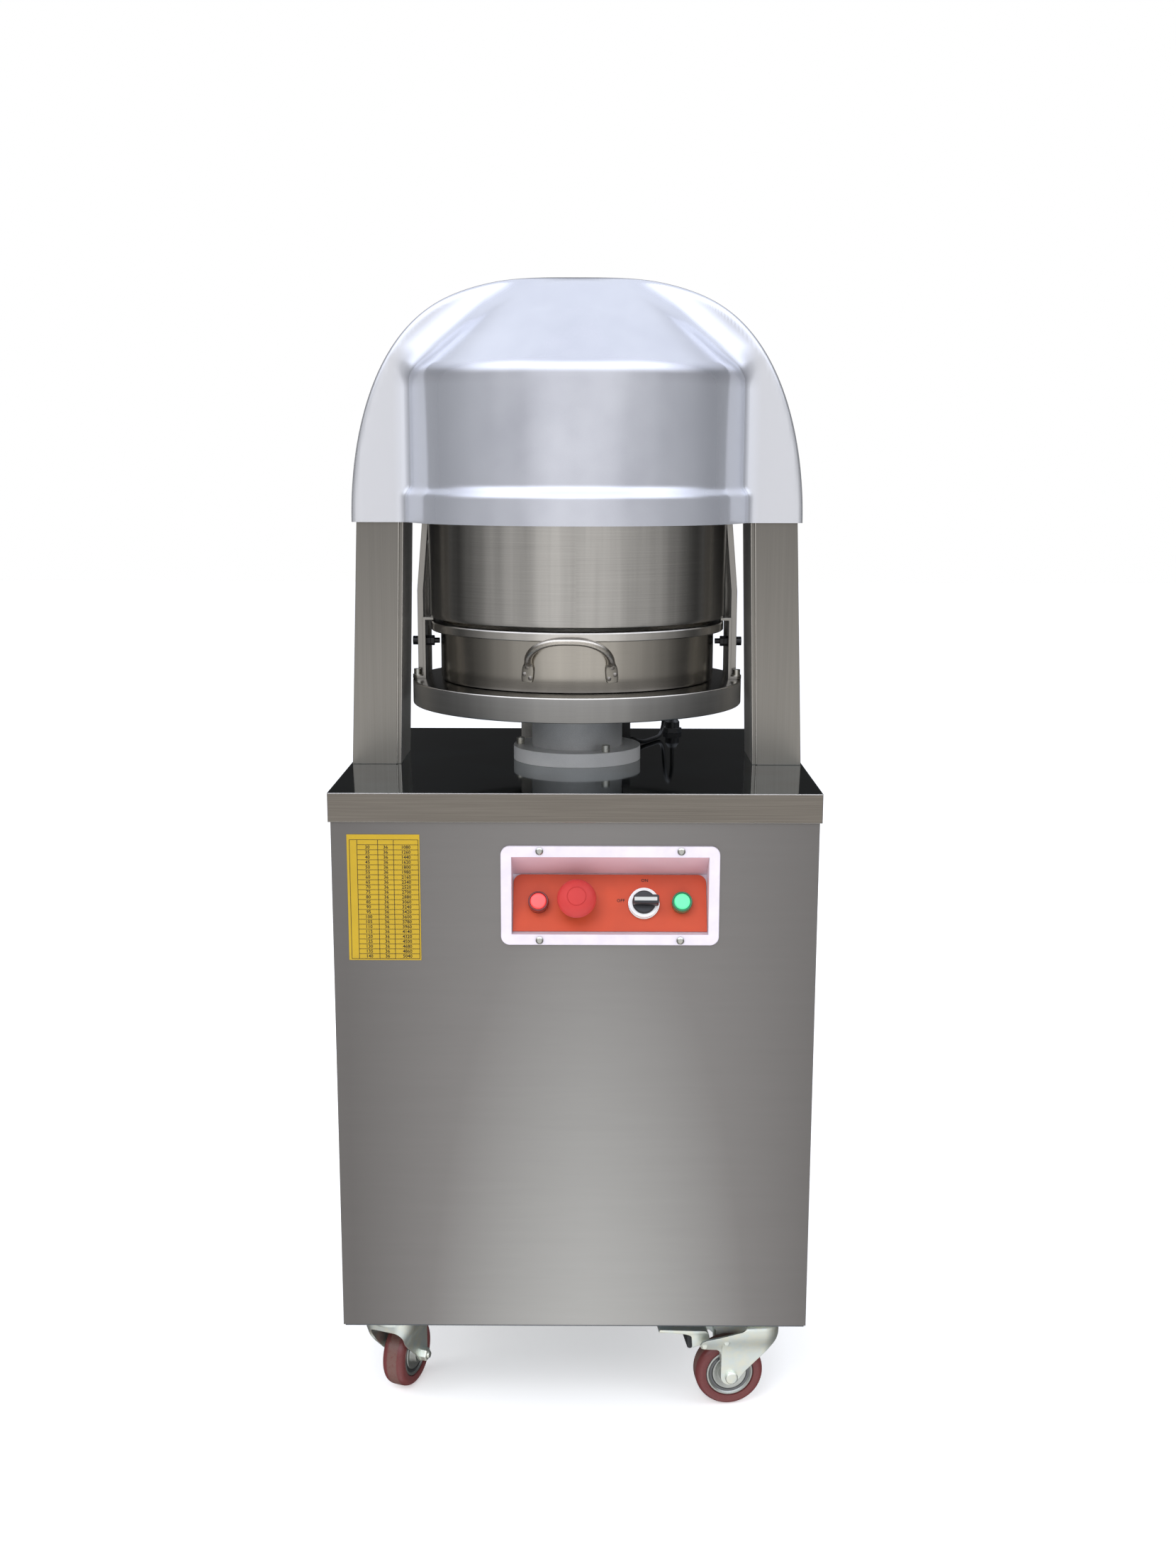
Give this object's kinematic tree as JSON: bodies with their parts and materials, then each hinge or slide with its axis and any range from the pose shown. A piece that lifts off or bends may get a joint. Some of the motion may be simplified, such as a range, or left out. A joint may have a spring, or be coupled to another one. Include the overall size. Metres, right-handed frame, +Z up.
{
  "type": "hydraulic dough divider",
  "caption": "Floor-standing hydraulic dough divider: a removable pan on a lifting disc rises round a fixed cutting head under a moulded hood, on a cabinet with casters.",
  "frame": {"origin": "on the floor, under the middle of the table top", "axes": "+Z up; -Y is the operator's side, where the controls are and the pan slides out; +X is to the operator's right, as seen in the picture"},
  "size_m": [0.5, 0.4684, 1.213],
  "materials": {
    "stainless": "brushed",
    "table_steel": "mirror polished top, brushed skirt",
    "cabinet_steel": "fine brushed",
    "hood_shell": "semi-gloss silver",
    "drum_steel": "polished, lengthwise brushed",
    "pan_steel": "satin",
    "disc_steel": "turned",
    "ram_steel": "grey, blasted",
    "bright_zinc": "zinc plated",
    "black_bolts": "blackened",
    "frame_paint": "satin paint",
    "head_food_steel": "ground",
    "head_plastic": "food-grade white plastic",
    "frame_plastic": "white moulded",
    "plate_red": "orange-red, satin",
    "button_red": "red",
    "lens_red": "red lens",
    "lens_green": "green lens",
    "black_plastic": "black",
    "cable_black": "black sheath",
    "label_yellow": "printed film",
    "tank_paint": "gloss enamel",
    "motor_paint": "painted casting",
    "pump_iron": "bare casting",
    "valve_alloy": "machined",
    "caster_zinc": "zinc plated pressing",
    "tyre_pu": "burgundy polyurethane"
  },
  "bodies": {
    "base": {"table_top": "table_steel", "front_panel": "cabinet_steel", "side_panels": "cabinet_steel", "rear_panel": "cabinet_steel", "panel_screws": "bright_zinc", "base_plate": "frame_paint", "cabinet_frame": "frame_paint", "deck_plate": "frame_paint", "columns": "stainless", "column_covers": "stainless", "tie_rods": "bright_zinc", "head_bridge": "frame_paint", "hood": "hood_shell", "head_post": "head_food_steel", "knife_grid": "head_food_steel", "base_flange": "ram_steel", "flange_bolts": "bright_zinc", "cylinder_barrel": "frame_paint", "limit_switch": "black_plastic", "switch_cable": "cable_black", "cable_glands": "black_plastic", "oil_tank": "tank_paint", "motor": "motor_paint", "pump": "pump_iron", "valve_block": "valve_alloy", "oil_pipe": "bright_zinc", "electrical_plate": "bright_zinc", "electrical_gear": "black_plastic", "control_frame": "frame_plastic", "control_plate": "plate_red", "red_lamp": "lens_red", "green_lamp": "lens_green", "switch_bodies": "black_plastic", "chart_label": "label_yellow", "caster_plates": "caster_zinc", "caster_bolts": "bright_zinc"},
    "carriage": {"lift_disc": "disc_steel", "ram": "ram_steel", "guide_bar": "stainless", "drum": "drum_steel", "tie_bars": "stainless", "pan_clamps": "stainless", "clamp_bolts": "black_bolts"},
    "press_plate": {"press_segments": "head_plastic", "press_carrier": "head_food_steel", "press_springs": "black_bolts"},
    "pan": {"pan": "pan_steel", "pan_handles": "pan_steel"},
    "start_button": {"start_button": "button_red"},
    "power_selector": {"selector_knob": "black_plastic"},
    "swivel_front_left": {"fork_front_left": "caster_zinc"},
    "wheel_front_left": {"wheel_front_left": "tyre_pu"},
    "swivel_front_right": {"fork_front_right": "caster_zinc"},
    "wheel_front_right": {"wheel_front_right": "tyre_pu"},
    "brake_front_right": {"pedal_front_right": "black_plastic"},
    "swivel_rear_left": {"fork_rear_left": "caster_zinc"},
    "wheel_rear_left": {"wheel_rear_left": "tyre_pu"},
    "brake_rear_left": {"pedal_rear_left": "black_plastic"},
    "swivel_rear_right": {"fork_rear_right": "caster_zinc"},
    "wheel_rear_right": {"wheel_rear_right": "tyre_pu"}
  },
  "joints": [
    {"name": "lift_slide", "type": "slide", "parent": "base", "child": "carriage", "axis": [0, 0, 1], "range_m": [0, 0.064]},
    {"name": "pan_slide", "type": "slide", "parent": "carriage", "child": "pan", "axis": [0, -1, 0], "range_m": [0, 0.36]},
    {"name": "press_plate_slide", "type": "slide", "parent": "base", "child": "press_plate", "axis": [0, 0, 1], "range_m": [0, 0.04], "stiffness_N_per_m": 2000, "springref_m": -0.01, "deforming": ["press_springs"]},
    {"name": "start_button_push", "type": "slide", "parent": "base", "child": "start_button", "axis": [0, 0.8829, -0.4695], "range_m": [0, 0.004], "stiffness_N_per_m": 500, "springref_m": -0.001},
    {"name": "power_selector_turn", "type": "hinge", "parent": "base", "child": "power_selector", "pos_m": [0.0708, -0.19962, 0.57399], "axis": [0, 0.8829, -0.4695], "range_deg": [0, 90]},
    {"name": "swivel_front_left", "type": "hinge", "parent": "base", "child": "swivel_front_left", "pos_m": [-0.2017, -0.1677, 0.1], "axis": [0, 0, 1], "continuous": true},
    {"name": "wheel_front_left", "type": "hinge", "parent": "swivel_front_left", "child": "wheel_front_left", "pos_m": [-0.18987, -0.13689, 0.0375], "axis": [-0.9336, 0.3584, 0], "continuous": true},
    {"name": "swivel_front_right", "type": "hinge", "parent": "base", "child": "swivel_front_right", "pos_m": [0.2017, -0.1677, 0.1], "axis": [0, 0, 1], "continuous": true},
    {"name": "wheel_front_right", "type": "hinge", "parent": "swivel_front_right", "child": "wheel_front_right", "pos_m": [0.16895, -0.17172, 0.0375], "axis": [0.1219, -0.9925, 0], "continuous": true},
    {"name": "brake_front_right", "type": "hinge", "parent": "swivel_front_right", "child": "brake_front_right", "pos_m": [0.13818, -0.1755, 0.079], "axis": [0.1219, -0.9925, 0], "range_deg": [0, 15]},
    {"name": "swivel_rear_left", "type": "hinge", "parent": "base", "child": "swivel_rear_left", "pos_m": [-0.2017, 0.1677, 0.1], "axis": [0, 0, 1], "continuous": true},
    {"name": "wheel_rear_left", "type": "hinge", "parent": "swivel_rear_left", "child": "wheel_rear_left", "pos_m": [-0.19316, 0.13582, 0.0375], "axis": [0.9659, 0.2588, 0], "continuous": true},
    {"name": "brake_rear_left", "type": "hinge", "parent": "swivel_rear_left", "child": "brake_rear_left", "pos_m": [-0.18514, 0.10588, 0.079], "axis": [0.9659, 0.2588, 0], "range_deg": [0, 15]},
    {"name": "swivel_rear_right", "type": "hinge", "parent": "base", "child": "swivel_rear_right", "pos_m": [0.2017, 0.1677, 0.1], "axis": [0, 0, 1], "continuous": true},
    {"name": "wheel_rear_right", "type": "hinge", "parent": "swivel_rear_right", "child": "wheel_rear_right", "pos_m": [0.19041, 0.13669, 0.0375], "axis": [0.9397, -0.342, 0], "continuous": true}
  ]
}
